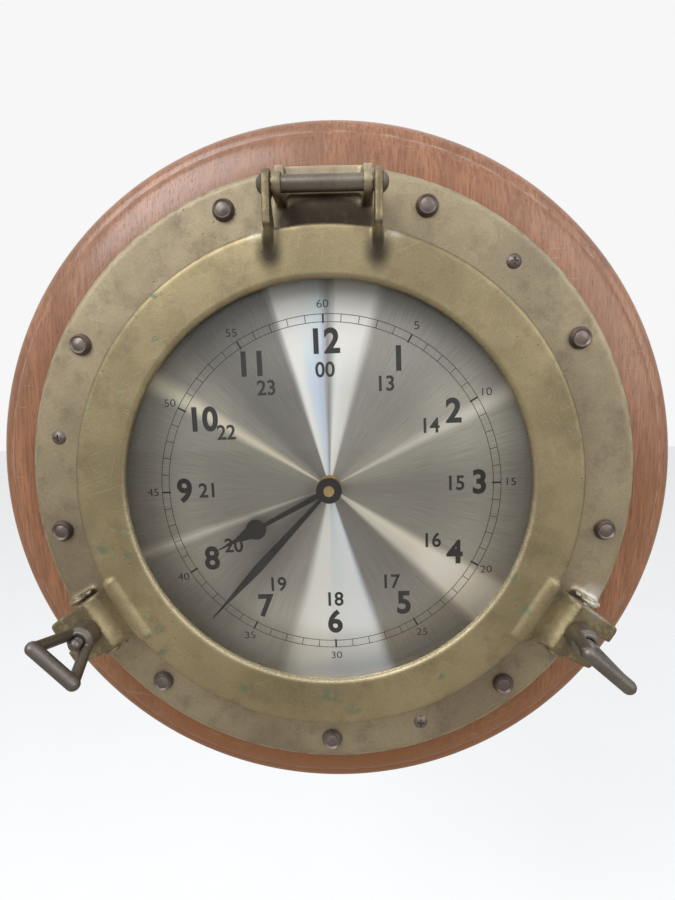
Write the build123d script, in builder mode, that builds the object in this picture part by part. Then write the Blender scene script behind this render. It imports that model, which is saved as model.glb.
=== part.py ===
from build123d import *
from math import asin, cos, radians, sin
import os

# A ship's porthole wall clock: a hinged brass porthole on a turned wooden board, with a quartz clock behind
# its glass. The origin is the hanging point at the top of the keyhole slot, on the wall. +Z is up and the
# clock faces -Y. Heights are measured out from the wall, radii from the axis of the porthole. All in mm.

# ---------------------------------------------------------------- driving dimensions
centre_drop = 125.0         # the porthole's axis, below the hanging point
board_radius = 179.0
board_thickness = 28.0
flange_radius = 150.0
flange_thickness = 14.0
port_bore = 112.0
sash_radius = 120.5
sash_opening = 96.4
glass_radius = 107.0
glass_thickness = 6.0
hinge_up = 136.0            # the hinge pin, above the porthole's axis
hinge_lift = 17.0           # the hinge pin, in front of the flange
dog_angle = 121.0           # each clamp, either side of twelve o'clock
dog_radius = 141.0          # the axis of each swing bolt
dial_drop = 4.6             # the dial's centre, below the porthole's axis
dial_roll = 1.5             # the dial stands this many degrees anticlockwise
dial_radius = 118.7
dial_thickness = 0.9
hour_turn = 242.9           # the hands' places on the dial, degrees clockwise from its twelve
minute_turn = 223.9
turning_fit = 0.05          # radial clearance of a turning shaft
clear = 0.3                 # gap between neighbours that move apart

flange_face = board_thickness + flange_thickness
dial_face = board_thickness + dial_thickness
hinge_height = flange_face + hinge_lift
sash_back = flange_face + 1.2
sash_front = flange_face + 15.8

# Reference planes: front looks at the wall, section is a half section with x outwards and y into the room,
# side is a cut across the hinge with x upwards and y into the room.
front = Plane(origin=(0, 0, -centre_drop), x_dir=(1, 0, 0), z_dir=(0, -1, 0))
section = Plane(origin=(0, 0, -centre_drop), x_dir=(1, 0, 0), z_dir=(0, 0, -1))
side = Plane(origin=(0, 0, -centre_drop), x_dir=(0, 0, 1), z_dir=(1, 0, 0))
port_axis = Axis((0, 0, -centre_drop), (0, 1, 0))
dial_origin = (0, 0, -centre_drop - dial_drop)
dial = Plane(origin=dial_origin, x_dir=(cos(radians(dial_roll)), 0, sin(radians(dial_roll))), z_dir=(0, -1, 0))
dial_axis = Axis(dial_origin, (0, 1, 0))
base = (Align.CENTER, Align.CENTER, Align.MIN)

os.makedirs("parts", exist_ok=True)


def clock_points(radius, angles):
    """Points on a circle at angles counted clockwise from twelve o'clock."""
    return [(radius * sin(radians(angle)), radius * cos(radians(angle))) for angle in angles]


def dome_middle(radius, rise):
    """The middle point of the arc of a shallow dome, from its rim to its top on the axis."""
    sphere = (radius ** 2 + rise ** 2) / (2 * rise)
    half_angle = asin(radius / sphere) / 2
    return sphere * sin(half_angle), rise - sphere + sphere * cos(half_angle)


def save(piece, name):
    """Label a finished piece and write its STEP file."""
    piece.part.label = name
    export_step(piece.part, f"parts/{name}.step")


# ---------------------------------------------------------------- keyhole hanger, let into the board's back
hanger_width, hanger_length, hanger_thickness = 20.0, 56.0, 1.6
slot_half_width, mouth_radius, keyhole_travel = 2.5, 5.0, 12.0
hanger_screw_spacing, hanger_screw_radius, hanger_screw_length = 44.0, 1.5, 12.0
hanger = Plane(origin=(0, 0, -keyhole_travel / 2), x_dir=(1, 0, 0), z_dir=(0, -1, 0))
with BuildPart() as keyhole_hanger:
    with BuildSketch(hanger):
        RectangleRounded(hanger_width, hanger_length, 3.8)
        with Locations((0, -keyhole_travel / 2)):
            Circle(mouth_radius, mode=Mode.SUBTRACT)
        with Locations((0, -slot_half_width / 2)):
            SlotOverall(keyhole_travel + slot_half_width, 2 * slot_half_width, rotation=90, mode=Mode.SUBTRACT)
    extrude(amount=hanger_thickness)
    with Locations(hanger.rotated((180, 0, 0))):
        with GridLocations(0.1, hanger_screw_spacing, 1, 2):
            CounterSinkHole(hanger_screw_radius, 2.8, depth=hanger_thickness)
save(keyhole_hanger, "keyhole_hanger")
with BuildPart() as hanger_screws:
    with Locations(hanger):
        with GridLocations(0.1, hanger_screw_spacing, 1, 2):
            Cone(2.7, hanger_screw_radius, 1.2, align=base)
            Cylinder(hanger_screw_radius, hanger_screw_length, align=base)
save(hanger_screws, "hanger_screws")

# ---------------------------------------------------------------- wooden board: turned, with a stepped edge
step_radius, step_height, quirk = 170.8, 24.7, 1.2
edge_height, edge_rise = 15.5, 8.0
edge_run = board_radius - step_radius - 0.4
pocket_size = 62.0
rivet_circle, rivet_angles = 138.8, [20 + 40 * k for k in range(9)]
rivet_shank, rivet_head, rivet_rise, rivet_depth = 3.0, 5.1, 2.9, 8.0
screw_circle, screw_angles = 137.0, [40, 160, 280]
screw_shank, screw_head, screw_rise, screw_depth = 2.0, 3.6, 1.6, 16.0
screw_tip = -flange_thickness - screw_depth
with BuildPart() as backboard:
    with BuildSketch(section):
        with BuildLine():
            Polyline((0, 0), (board_radius - 1.5, 0), (board_radius, 1.5), (board_radius, edge_height))
            ThreePointArc((board_radius, edge_height),
                          (step_radius + 0.4 + edge_run * cos(radians(45)), edge_height + edge_rise * sin(radians(45))),
                          (step_radius + 0.4, edge_height + edge_rise))
            Line((step_radius + 0.4, edge_height + edge_rise), (step_radius, step_height))
            ThreePointArc((step_radius, step_height), (164.0, 27.1), (156.0, board_thickness))
            Polyline((156.0, board_thickness), (0, board_thickness), (0, 0))
        make_face()
    revolve(axis=port_axis)
    with BuildSketch(dial):
        RectangleRounded(pocket_size, pocket_size, 5)
    extrude(amount=board_thickness, mode=Mode.SUBTRACT)
    with BuildSketch(hanger):
        RectangleRounded(hanger_width + 0.4, hanger_length + 0.4, 4)
    extrude(amount=hanger_thickness, mode=Mode.SUBTRACT)
    with BuildSketch(hanger.offset(hanger_thickness)):
        RectangleRounded(13, 28, 5)
    extrude(amount=9, mode=Mode.SUBTRACT)
    with Locations(hanger):
        with GridLocations(0.1, hanger_screw_spacing, 1, 2):
            Cylinder(hanger_screw_radius, hanger_screw_length, align=base, mode=Mode.SUBTRACT)
    with Locations(front.offset(board_thickness)):
        with Locations(*clock_points(rivet_circle, rivet_angles)):
            Hole(rivet_shank, depth=rivet_depth)
        with Locations(*clock_points(screw_circle, screw_angles)):
            Hole(screw_shank, depth=screw_depth)
save(backboard, "backboard")

# ---------------------------------------------------------------- clamps: their planes, brackets and sizes
bolt_radius, bolt_eye_radius, bolt_eye_half_width, bolt_reach = 3.1, 4.4, 2.8, 29.5
pivot_lift, pivot_radius = 4.5, 2.2
bracket_inner, bracket_outer, bracket_radius = 14.2, 16.7, 5.0
lug_tip_half, lug_root_half, lug_root, lug_end = 12.2, 14.8, -16.0, 16.0
lug_underside, seat_lift, spot_radius = 8.6, 14.0, 7.1


def dog_planes(hand):
    """The planes of a clamp on the left (-1) or right (1), through its bolt's axis: one face on with x
    outwards from the porthole, and one in section with x outwards and y into the room."""
    angle = radians(hand * dog_angle)
    outwards = (sin(angle), 0, cos(angle))
    foot = (dog_radius * sin(angle), 0, dog_radius * cos(angle) - centre_drop)
    face_on = Plane(origin=foot, x_dir=outwards, z_dir=(0, -1, 0))
    cut = Plane(origin=foot, x_dir=outwards, z_dir=(outwards[2], 0, -outwards[0]))
    return face_on, cut


# ---------------------------------------------------------------- porthole flange, with knuckles and brackets
knuckle_radius, knuckle_inner, knuckle_outer = 5.2, 17.6, 22.0
pad_low, pad_high, pad_lift = 135.6, 148.0, 3.0
foot_low, foot_high, foot_lift = 134.0, 147.0, 8.0
pin_radius, pin_head_radius, pin_head_rise = 3.7, 4.6, 2.7
ear_inner, ear_outer = knuckle_outer + 0.4, knuckle_outer + 4.0
with BuildPart() as porthole_flange:
    with BuildSketch(section):
        with BuildLine():
            Polyline((dial_radius + clear, board_thickness), (flange_radius, board_thickness),
                     (flange_radius, flange_face - 2.5))
            ThreePointArc((flange_radius, flange_face - 2.5),
                          (flange_radius - 2.5 + 2.5 * cos(radians(45)), flange_face - 2.5 + 2.5 * sin(radians(45))),
                          (flange_radius - 2.5, flange_face))
            Polyline((flange_radius - 2.5, flange_face), (port_bore + 3.5, flange_face),
                     (port_bore + 3.5, flange_face + 0.8), (port_bore, flange_face + 0.8),
                     (port_bore, dial_face), (dial_radius + clear, dial_face),
                     (dial_radius + clear, board_thickness))
        make_face()
    revolve(axis=port_axis)
    with BuildSketch(side):
        with Locations(((pad_low + pad_high) / 2, flange_face + pad_lift / 2)):
            Rectangle(pad_high - pad_low, pad_lift)
    extrude(amount=knuckle_outer, both=True)
    for hand in (-1, 1):
        with BuildSketch(side.offset(hand * (knuckle_inner + knuckle_outer) / 2)):
            with Locations((hinge_up, hinge_height)):
                Circle(knuckle_radius)
            with Locations((hinge_up, flange_face + hinge_lift / 2)):
                Rectangle(2 * knuckle_radius, hinge_lift)
            with Locations(((foot_low + foot_high) / 2, flange_face + foot_lift / 2)):
                Rectangle(foot_high - foot_low, foot_lift)
            with Locations((hinge_up, hinge_height)):
                Circle(pin_radius, mode=Mode.SUBTRACT)
        extrude(amount=(knuckle_outer - knuckle_inner) / 2, both=True)
        face_on, cut = dog_planes(hand)
        for end in (-1, 1):
            with BuildSketch(cut.offset(end * (bracket_inner + bracket_outer) / 2)):
                with Locations((0, flange_face + pivot_lift)):
                    Circle(bracket_radius)
                with Locations((0, flange_face + 1.5)):
                    Rectangle(2 * bracket_radius + 5, 5)
                with Locations((0, flange_face + pivot_lift)):
                    Circle(pivot_radius, mode=Mode.SUBTRACT)
            extrude(amount=(bracket_outer - bracket_inner) / 2, both=True)
    with Locations(front.offset(flange_face)):
        with Locations(*clock_points(rivet_circle, rivet_angles)):
            Hole(rivet_shank, depth=flange_thickness)
        with Locations(*clock_points(screw_circle, screw_angles)):
            Hole(screw_shank, depth=flange_thickness)
save(porthole_flange, "porthole_flange")

# Nine domed rivets and three cross-head screws hold the flange to the board
with BuildPart() as rivet:
    with BuildSketch(Plane.XZ):
        with BuildLine():
            Polyline((0, rivet_rise), (0, -flange_thickness - rivet_depth),
                     (rivet_shank, -flange_thickness - rivet_depth), (rivet_shank, 0), (rivet_head, 0))
            ThreePointArc((rivet_head, 0), dome_middle(rivet_head, rivet_rise), (0, rivet_rise))
        make_face()
    revolve(axis=Axis.Z)
with BuildPart() as flange_rivets:
    with Locations(front.offset(flange_face)):
        with Locations(*clock_points(rivet_circle, rivet_angles)):
            add(rivet.part)
save(flange_rivets, "flange_rivets")
with BuildPart() as screw:
    with BuildSketch(Plane.XZ):
        with BuildLine():
            Polyline((0, screw_rise), (0, screw_tip), (screw_shank * 0.4, screw_tip),
                     (screw_shank, screw_tip + 5), (screw_shank, 0), (screw_head, 0))
            ThreePointArc((screw_head, 0), dome_middle(screw_head, screw_rise), (0, screw_rise))
        make_face()
    revolve(axis=Axis.Z)
    with BuildSketch(Plane.XY.offset(screw_rise)):
        Rectangle(3.6, 0.8)
        Rectangle(0.8, 3.6)
    extrude(amount=-1.1, mode=Mode.SUBTRACT)
with BuildPart() as mounting_screws:
    with Locations(front.offset(flange_face)):
        with Locations(*clock_points(screw_circle, screw_angles)):
            add(screw.part)
save(mounting_screws, "mounting_screws")

# Hinge pin: bronze, fixed in the knuckles, with a domed head outside each ear of the sash
with BuildPart() as hinge_pin:
    with BuildSketch(side):
        with Locations((hinge_up, hinge_height)):
            Circle(pin_radius)
    extrude(amount=ear_outer + clear, both=True)
    for hand in (-1, 1):
        head = Plane(origin=(0, -hinge_height, hinge_up - centre_drop), x_dir=(hand, 0, 0), z_dir=(0, hand, 0))
        root = ear_outer + clear
        with BuildSketch(head):
            with BuildLine():
                Polyline((root + pin_head_rise, 0), (root, 0), (root, pin_head_radius))
                middle = dome_middle(pin_head_radius, pin_head_rise)
                ThreePointArc((root, pin_head_radius), (root + middle[1], middle[0]), (root + pin_head_rise, 0))
            make_face()
        revolve(axis=Axis((0, -hinge_height, hinge_up - centre_drop), (1, 0, 0)))
save(hinge_pin, "hinge_pin")

# ---------------------------------------------------------------- sash: the hinged ring that holds the glass
glass_back = sash_front - 4.0 - glass_thickness
groove_inner, groove_outer, groove_depth = 110.8, 117.0, 3.0
ear_low, ear_rise = 104.0, 6.3
ridge, dip = (-23.0, flange_face + 17.1), (-14.5, flange_face + 12.2)
with BuildPart() as sash_ring:
    with BuildSketch(section):
        with BuildLine():
            Polyline((glass_radius + 0.2, sash_back), (groove_inner, sash_back), (groove_inner, sash_back + groove_depth),
                     (groove_outer, sash_back + groove_depth), (groove_outer, sash_back), (sash_radius, sash_back),
                     (sash_radius, sash_front - 1.3), (sash_radius - 1.3, sash_front), (sash_opening + 0.8, sash_front),
                     (sash_opening, sash_front - 0.8), (sash_opening, sash_front - 4.0),
                     (glass_radius + 0.2, sash_front - 4.0), (glass_radius + 0.2, sash_back))
        make_face()
    revolve(axis=port_axis)
    for hand in (-1, 1):
        # an ear of the hinge, rising off the face of the ring and round the pin
        with BuildSketch(side.offset(hand * (ear_inner + ear_outer) / 2)):
            with BuildLine():
                Line((112, sash_front - 8), (ear_low, sash_front))
                ThreePointArc((ear_low, sash_front), (112.5, sash_front + 2.6), (118.5, hinge_height + ear_rise))
                Polyline((118.5, hinge_height + ear_rise), (hinge_up, hinge_height + ear_rise),
                         (hinge_up, hinge_height), (hinge_up - ear_rise, hinge_height),
                         (119.5, sash_front - 8), (112, sash_front - 8))
            make_face()
            with Locations((hinge_up, hinge_height)):
                Circle(ear_rise)
                Circle(pin_radius + turning_fit, mode=Mode.SUBTRACT)
        extrude(amount=(ear_outer - ear_inner) / 2, both=True)
        # a clamping lug: a saddle that drops from the ring and rises to a flat seat round the bolt
        face_on, cut = dog_planes(hand)
        with BuildSketch(face_on.offset(flange_face), mode=Mode.PRIVATE) as lug_plan:
            Polygon((lug_end, lug_tip_half), (lug_root, lug_root_half), (lug_root - 5, lug_root_half + 2),
                    (-44, lug_root_half + 2), (-44, -lug_root_half - 2), (lug_root - 5, -lug_root_half - 2),
                    (lug_root, -lug_root_half), (lug_end, -lug_tip_half), align=None)
            fillet(lug_plan.vertices().sort_by(Axis.X)[-2:], 3.5)
        with BuildSketch(cut, mode=Mode.PRIVATE) as lug_profile:
            with BuildLine():
                Spline((-29, sash_front), ridge, dip, (-6.6, flange_face + 14.7))
                Polyline((-6.6, flange_face + 14.7), (-5.6, flange_face + seat_lift),
                         (lug_end - 1.5, flange_face + seat_lift), (lug_end, flange_face + seat_lift - 1.5),
                         (lug_end, flange_face + lug_underside), (-19.5, flange_face + lug_underside),
                         (-23.5, flange_face + 5.5), (-29, flange_face + 5.5), (-29, sash_front))
            make_face()
        lug = extrude(lug_plan.sketch, amount=20, mode=Mode.PRIVATE)
        lug &= extrude(lug_profile.sketch, amount=20, both=True, mode=Mode.PRIVATE)
        add(lug)
        with BuildSketch(face_on.offset(flange_face)):
            with Locations((lug_end, 0)):
                SlotCenterToCenter(2 * lug_end, 2 * bolt_radius + 1.6)
        extrude(amount=20, mode=Mode.SUBTRACT)
        with Locations(face_on.offset(flange_face + seat_lift)):
            Cylinder(spot_radius, 6, align=base, mode=Mode.SUBTRACT)
save(sash_ring, "sash_ring")

with BuildPart() as glass_pane:
    with Locations(front.offset(glass_back)):
        Cylinder(glass_radius, glass_thickness, align=base)
save(glass_pane, "glass_pane")

retaining_height, retaining_width, notch = 3.4, 3.9, 4.0
with BuildPart() as glass_retaining_ring:
    with Locations(front.offset(glass_back - retaining_height)):
        Cylinder(glass_radius, retaining_height, align=base)
        Cylinder(glass_radius - retaining_width, retaining_height, align=base, mode=Mode.SUBTRACT)
        with PolarLocations(glass_radius, 4, start_angle=45):
            Box(2 * retaining_width + 1, notch, 1.5, align=base, mode=Mode.SUBTRACT)
save(glass_retaining_ring, "glass_retaining_ring")

with BuildPart() as sash_gasket:
    with Locations(front.offset(flange_face + 0.9)):
        Cylinder(groove_outer - 0.4, sash_back + groove_depth - flange_face - 0.9, align=base)
        Cylinder(groove_inner + 0.4, sash_back + groove_depth - flange_face - 0.9, align=base, mode=Mode.SUBTRACT)
save(sash_gasket, "sash_gasket")

# ---------------------------------------------------------------- swing bolts, their pivots and the loop nuts
pivot_head_radius, pivot_head_rise = 2.9, 0.6
nut_radius, nut_height, nut_bore, nut_gap = 6.7, 10.5, 3.4, 0.05
loop_bar, loop_arm, loop_half, loop_lift = 3.25, 2.7, 11.8, 46.0
arm_foot = (4.6, 22.0)
loop_slants = {-1: -44.7, 1: -41.0}     # the slope of each loop's bar, in degrees from level
dog_names = {-1: "left", 1: "right"}
for hand, name in dog_names.items():
    face_on, cut = dog_planes(hand)
    with BuildPart() as swing_bolt:
        with BuildSketch(cut):
            with Locations((0, flange_face + pivot_lift)):
                Circle(bolt_eye_radius)
                Circle(pivot_radius, mode=Mode.SUBTRACT)
        extrude(amount=bolt_eye_half_width, both=True)
        with BuildSketch(cut):
            with BuildLine():
                Polyline((0, flange_face + bolt_reach), (0, flange_face + pivot_lift + pivot_radius + 0.6),
                         (bolt_radius, flange_face + pivot_lift + pivot_radius + 0.6),
                         (bolt_radius, flange_face + bolt_reach - 2))
                middle = dome_middle(bolt_radius, 2)
                ThreePointArc((bolt_radius, flange_face + bolt_reach - 2),
                              (middle[0], flange_face + bolt_reach - 2 + middle[1]), (0, flange_face + bolt_reach))
            make_face()
        revolve(axis=Axis(face_on.origin, (0, -1, 0)))
    save(swing_bolt, f"swing_bolt_{name}")

    with BuildPart() as bolt_pivot:
        with BuildSketch(cut):
            with Locations((0, flange_face + pivot_lift)):
                Circle(pivot_radius)
        extrude(amount=bracket_outer, both=True)
        for end in (-1, 1):
            with BuildSketch(cut.offset(end * bracket_outer)):
                with Locations((0, flange_face + pivot_lift)):
                    Circle(pivot_head_radius)
            extrude(amount=end * pivot_head_rise, taper=30)
    save(bolt_pivot, f"bolt_pivot_{name}")

    slant = radians(loop_slants[hand])
    bar = (cos(slant), 0, sin(slant))
    loop_plane = Plane(origin=face_on.origin, x_dir=bar, z_dir=(sin(slant), 0, -cos(slant)))
    with BuildPart() as loop_nut:
        with Locations(face_on.offset(flange_face + seat_lift + nut_gap)):
            Cylinder(nut_radius, nut_height - 2.5, align=base)
        with Locations(face_on.offset(flange_face + seat_lift + nut_gap + nut_height - 2.5)):
            Cone(nut_radius, nut_radius - 1.6, 2.5, align=base)
        for end in (-1, 1):
            foot = loop_plane.from_local_coords(Vector(end * arm_foot[0], flange_face + arm_foot[1]))
            tip = loop_plane.from_local_coords(Vector(end * loop_half, flange_face + loop_lift))
            with BuildSketch(Plane(origin=foot, z_dir=tip - foot)):
                Circle(loop_arm)
            extrude(amount=(tip - foot).length)
            with Locations(tip):
                Sphere(loop_bar)
        with BuildSketch(Plane(origin=face_on.origin, x_dir=(0, -1, 0), z_dir=bar)):
            with Locations((flange_face + loop_lift, 0)):
                Circle(loop_bar)
        extrude(amount=loop_half, both=True)
        with Locations(face_on.offset(flange_face + seat_lift)):
            Cylinder(nut_bore, 17.0, align=base, mode=Mode.SUBTRACT)
    save(loop_nut, f"loop_nut_{name}")

# ---------------------------------------------------------------- dial plate, and the levels behind it
bush_radius, bush_bore = 4.0, 2.65
case_size, case_depth, case_wall = 56.0, 18.0, 1.5
case_front = board_thickness - 1.0
case_back = case_front - case_depth
inside_front, inside_back = case_front - case_wall, case_back + case_wall
with BuildPart() as dial_plate:
    with BuildSketch(front.offset(board_thickness)):
        Circle(dial_radius)
        with Locations((0, -dial_drop)):
            Circle(bush_radius + 0.2, mode=Mode.SUBTRACT)
    extrude(amount=dial_thickness)
save(dial_plate, "dial_plate")

# ---------------------------------------------------------------- fixing of the movement to the dial
nut_size, washer_radius = 5.0, 6.5
with BuildPart() as centre_bush:
    with Locations(dial.offset(inside_front - 0.4)):
        Cylinder(bush_radius + 1.5, 0.4, align=base)
        Cylinder(bush_radius, dial_face + 4.2 - inside_front, align=base)
        Cylinder(bush_bore, dial_face + 5 - inside_front, align=base, mode=Mode.SUBTRACT)
save(centre_bush, "centre_bush")
with BuildPart() as rubber_washer:
    with Locations(dial.offset(case_front)):
        Cylinder(9.0, board_thickness - case_front, align=base)
        Cylinder(bush_radius, board_thickness - case_front, align=base, mode=Mode.SUBTRACT)
save(rubber_washer, "rubber_washer")
with BuildPart() as dial_washer:
    with Locations(dial.offset(dial_face)):
        Cylinder(washer_radius, 0.5, align=base)
        Cylinder(bush_radius, 0.5, align=base, mode=Mode.SUBTRACT)
save(dial_washer, "dial_washer")
with BuildPart() as movement_nut:
    with BuildSketch(dial.offset(dial_face + 0.5)):
        RegularPolygon(nut_size, 6, major_radius=False)
        Circle(bush_radius, mode=Mode.SUBTRACT)
    extrude(amount=2.4)
save(movement_nut, "movement_nut")

# ---------------------------------------------------------------- gears: straight-flanked teeth with backlash
module = 0.35
arbor_radius = 0.5


def mesh_turn(turn, teeth, mate_teeth, direction):
    """The turn that puts a mating gear in mesh, given the first gear's turn and the direction to the mate."""
    return direction + 180 - (turn - direction) * teeth / mate_teeth - 180 / mate_teeth


def gear(centre, height, teeth, size, thickness, turn):
    """Add a gear to the part being built, at a place on the dial plane and a height from the wall."""
    with BuildSketch(dial.offset(height), mode=Mode.PRIVATE) as outline:
        with Locations(centre):
            Circle((teeth / 2 - 1.15) * size)
            with PolarLocations(teeth / 2 * size, teeth, start_angle=turn):
                Polygon((-1.3 * size, -0.85 * size), (0.8 * size, -0.26 * size), (0.8 * size, 0.26 * size),
                        (-1.3 * size, 0.85 * size), align=None)
    extrude(outline.sketch, amount=thickness)


def shaft(centre, low, high, radius, mode=Mode.ADD):
    """Add or cut a round shaft between two heights from the wall."""
    with Locations(dial.offset(low)):
        with Locations(centre):
            Cylinder(radius, high - low, align=base, mode=mode)


def beyond(centre, teeth_sum, size, direction):
    """The place of a gear's mate: its pitch circles touch in the given direction."""
    reach = teeth_sum / 2 * size
    return centre[0] + reach * cos(radians(direction)), centre[1] + reach * sin(radians(direction))


# Going train, from the rotor's six leaves to the centre wheel, once round in an hour
centre = (0.0, 0.0)
third_at, second_at, reduction_at, rotor_at = 150.0, 75.0, -20.0, 15.0
third = beyond(centre, 64 + 8, module, third_at)
second = beyond(third, 60 + 8, module, second_at)
reduction = beyond(second, 40 + 8, module, reduction_at)
rotor = beyond(reduction, 36 + 6, module, rotor_at)
pivot_low, pivot_high = case_back + 0.3, case_front - 0.3
with BuildPart() as centre_wheel:
    gear(centre, 19.8, 64, module, 1.0, third_at)
    shaft(centre, pivot_low, 24.4, 0.9)
save(centre_wheel, "centre_wheel")
with BuildPart() as third_wheel:
    gear(third, 19.5, 8, module, 1.6, mesh_turn(third_at, 64, 8, third_at))
    gear(third, 17.8, 60, module, 1.0, second_at)
    shaft(third, pivot_low, pivot_high, arbor_radius)
    shaft(third, 17.8, 21.1, 0.9)
save(third_wheel, "third_wheel")
with BuildPart() as second_wheel:
    gear(second, 17.5, 8, module, 1.6, mesh_turn(second_at, 60, 8, second_at))
    gear(second, 15.8, 40, module, 1.0, reduction_at)
    shaft(second, pivot_low, pivot_high, arbor_radius)
    shaft(second, 15.8, 19.1, 0.9)
save(second_wheel, "second_wheel")
with BuildPart() as reduction_wheel:
    gear(reduction, 15.5, 8, module, 1.6, mesh_turn(reduction_at, 40, 8, reduction_at))
    gear(reduction, 13.8, 36, module, 1.0, rotor_at)
    shaft(reduction, pivot_low, pivot_high, arbor_radius)
    shaft(reduction, 13.8, 17.1, 0.9)
save(reduction_wheel, "reduction_wheel")
with BuildPart() as rotor_magnet:
    gear(rotor, 13.6, 6, module, 1.4, mesh_turn(rotor_at, 36, 6, rotor_at))
    shaft(rotor, pivot_low, pivot_high, arbor_radius)
    shaft(rotor, 15.4, 19.0, 2.6)
save(rotor_magnet, "rotor")

# Motion work: the minute tube turns the hour tube at a twelfth of its speed, and the knob sets both
motion_at, setting_at = -20.0, 30.0
hour_module = module * (12 + 36) / (10 + 40)
motion = beyond(centre, 12 + 36, module, motion_at)
setting = beyond(motion, 36 + 18, module, setting_at)
motion_turn = mesh_turn(motion_at, 12, 36, motion_at)
minute_radius, hour_radius = 1.5, 2.6
hour_height, minute_height = 34.6, 36.8
with BuildPart() as minute_tube:
    gear(centre, 21.5, 12, module, 1.6, motion_at)
    shaft(centre, 23.1, minute_height + 2.2, minute_radius)
    shaft(centre, 21.4, 24.6, 0.9 + turning_fit, Mode.SUBTRACT)
save(minute_tube, "minute_tube")
with BuildPart() as motion_wheel:
    gear(motion, 21.8, 36, module, 1.0, motion_turn)
    gear(motion, 22.8, 10, hour_module, 2.3, mesh_turn(0, 40, 10, motion_at + 180))
    shaft(motion, 21.8, 25.1, 0.7 + turning_fit, Mode.SUBTRACT)
save(motion_wheel, "motion_wheel")
with BuildPart() as hour_wheel:
    gear(centre, 23.8, 40, hour_module, 1.0, 0)
    shaft(centre, 23.8, hour_height + 0.9, hour_radius)
    shaft(centre, 23.8, hour_height + 0.9, minute_radius + turning_fit, Mode.SUBTRACT)
save(hour_wheel, "hour_wheel")
knob_radius, knob_low, knob_high = 5.0, 4.6, 8.6
with BuildPart() as setting_knob:
    gear(setting, 21.6, 18, module, 1.4, mesh_turn(motion_turn, 36, 18, setting_at))
    shaft(setting, knob_low, pivot_high, 1.0)
    shaft(setting, knob_low, knob_high, knob_radius)
    with Locations(dial.offset(knob_low)):
        with Locations(setting):
            with PolarLocations(knob_radius + 0.2, 18):
                Cylinder(0.6, knob_high - knob_low, align=base, mode=Mode.SUBTRACT)
save(setting_knob, "setting_knob")

# ---------------------------------------------------------------- hands and their nut
def hand_plane(turn):
    """The dial's plane turned clockwise, so that its y runs along a hand."""
    angle = radians(turn)
    return Plane(dial.origin, x_dir=dial.x_dir * cos(angle) - dial.y_dir * sin(angle), z_dir=dial.z_dir)


hour_tip, hour_bulb, bulb_radius = 66.0, 43.5, 5.3
minute_tip, minute_belly = 92.0, 55.0
with BuildPart() as hour_hand:
    with BuildSketch(hand_plane(hour_turn).offset(hour_height)):
        Circle(6.3)
        Polygon((-1.5, 4), (1.5, 4), (1.1, hour_bulb - 4.5), (-1.1, hour_bulb - 4.5), align=None)
        with Locations((0, hour_bulb)):
            Circle(bulb_radius)
        Polygon((-3.4, hour_bulb + 3.6), (3.4, hour_bulb + 3.6), (1.0, hour_bulb + 12), (0.25, hour_tip),
                (-0.25, hour_tip), (-1.0, hour_bulb + 12), align=None)
        Circle(hour_radius, mode=Mode.SUBTRACT)
    extrude(amount=0.7)
save(hour_hand, "hour_hand")
with BuildPart() as minute_hand:
    with BuildSketch(hand_plane(minute_turn).offset(minute_height)):
        Circle(6.5)
        Polygon((-0.8, 4), (0.8, 4), (2.3, minute_belly), (0.8, minute_tip - 12), (0.25, minute_tip),
                (-0.25, minute_tip), (-0.8, minute_tip - 12), (-2.3, minute_belly), align=None)
        Circle(minute_radius, mode=Mode.SUBTRACT)
    extrude(amount=0.6)
    with BuildSketch(hand_plane(minute_turn).offset(minute_height + 0.6)):
        Circle(6.5)
        Circle(minute_radius, mode=Mode.SUBTRACT)
    extrude(amount=0.6)
save(minute_hand, "minute_hand")
with BuildPart() as hand_nut:
    with Locations(dial.offset(minute_height + 1.2)):
        Cylinder(2.7, 1.4, align=base)
        Cylinder(minute_radius, 1.4, align=base, mode=Mode.SUBTRACT)
save(hand_nut, "hand_nut")

# ---------------------------------------------------------------- inside the movement
battery_drop, battery_radius, battery_half = 19.3, 7.1, 24.6
coil_x, coil_radius, coil_low, coil_high = 22.4, 3.1, -6.0, 10.5
stator_height, stator_thickness = 17.0, 0.8
with BuildPart() as battery:
    with BuildSketch(Plane(origin=dial.origin, x_dir=(0, -1, 0), z_dir=dial.x_dir)):
        with Locations((case_back + 9.0, battery_drop)):
            Circle(battery_radius)
    extrude(amount=battery_half, both=True)
save(battery, "battery")
with BuildPart() as battery_contacts:
    with BuildSketch(dial.offset(inside_back + 2)):
        for hand in (-1, 1):
            with Locations((hand * (battery_half + 0.35), -battery_drop)):
                Rectangle(0.5, 10)
    extrude(amount=11)
save(battery_contacts, "battery_contacts")
with BuildPart() as stator:
    with BuildSketch(dial.offset(stator_height)):
        with Locations(((3.6 + coil_x + 1.6) / 2, rotor[1])):
            Rectangle(coil_x + 1.6 - 3.6, 8)
        with Locations((coil_x, (coil_low - 2 + rotor[1] + 4) / 2)):
            Rectangle(3.2, rotor[1] + 4 - coil_low + 2)
        with Locations(rotor):
            Circle(3.1, mode=Mode.SUBTRACT)
    extrude(amount=stator_thickness)
save(stator, "stator")
with BuildPart() as coil:
    with BuildSketch(Plane(dial.origin + dial.y_dir * coil_low, x_dir=dial.x_dir, z_dir=dial.y_dir)):
        with Locations((coil_x, -stator_height - stator_thickness / 2)):
            Circle(coil_radius)
            Rectangle(3.3, stator_thickness + 0.1, mode=Mode.SUBTRACT)
    extrude(amount=coil_high - coil_low)
save(coil, "coil")
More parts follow.
